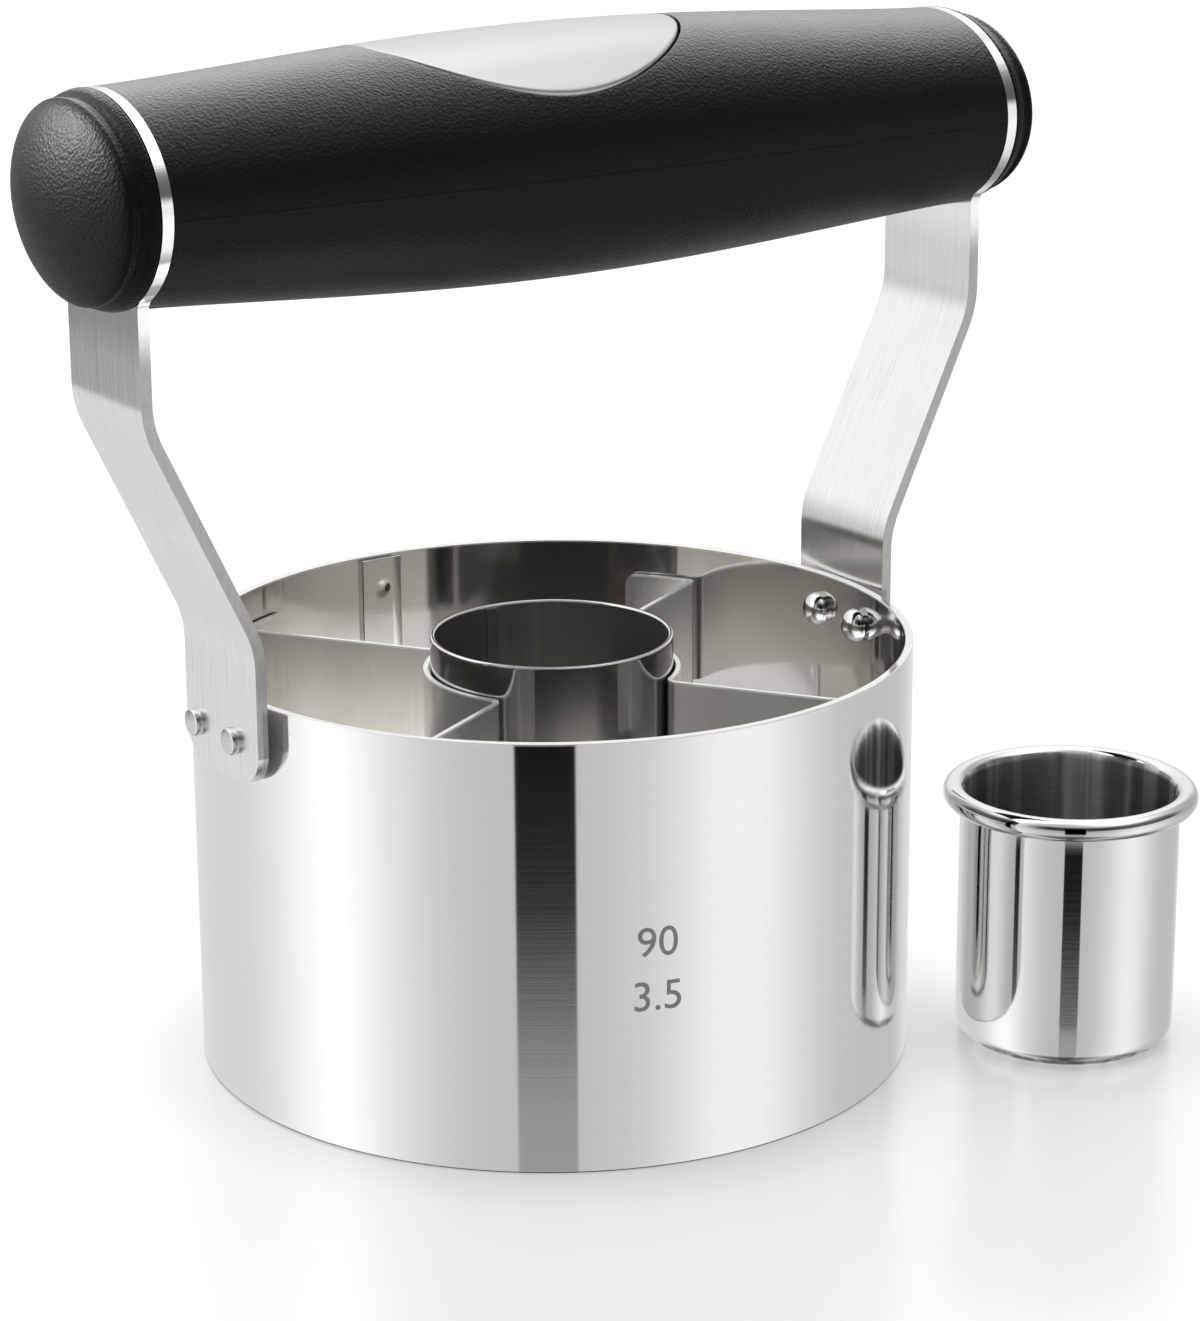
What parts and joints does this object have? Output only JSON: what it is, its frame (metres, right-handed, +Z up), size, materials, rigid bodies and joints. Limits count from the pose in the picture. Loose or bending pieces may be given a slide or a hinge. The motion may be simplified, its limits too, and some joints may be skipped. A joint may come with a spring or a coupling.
{
  "type": "doughnut cutter",
  "caption": "Hand-held doughnut cutter: steel cutting ring with a hole tube carried on bent strips, riveted strap brackets up to a black barrel grip, and a loose cup for the hole.",
  "frame": {"origin": "on the ring's axis, in the plane of its cutting edge", "axes": "+X along the grip, +Z up from the cutting edge to the grip, +Y to the side away from the loose cup"},
  "size_m": [0.1365, 0.0984, 0.1287],
  "materials": {
    "ring_steel": "fine horizontal brush, bright",
    "strap_steel": "fine lengthwise brush, satin",
    "polished_steel": "polished",
    "satin_steel": "satin, blank",
    "rivet_steel": "bright",
    "soft_black": "soft touch, fine grain",
    "cap_black": "matte, fine grain",
    "hard_black": "plain moulded"
  },
  "bodies": {
    "cutter": {"cutter_ring": "ring_steel", "hole_tube": "polished_steel", "grip_sleeve": "soft_black", "grip_core": "hard_black", "inlay_plate": "satin_steel", "bracket_right": "strap_steel", "end_cap_right": "cap_black", "tube_strip_right": "polished_steel", "rivet_right_front": "rivet_steel", "screw_right_front": "rivet_steel", "rivet_right_back": "rivet_steel", "screw_right_back": "rivet_steel", "bracket_left": "strap_steel", "end_cap_left": "cap_black", "tube_strip_left": "polished_steel", "rivet_left_front": "rivet_steel", "screw_left_front": "rivet_steel", "rivet_left_back": "rivet_steel", "screw_left_back": "rivet_steel"},
    "cup": {"hole_cup": "polished_steel"}
  },
  "joints": [
    {"name": "cup_lift", "type": "slide", "parent": "cutter", "child": "cup", "axis": [0, 0, 1], "range_m": [0, 0.06]}
  ]
}
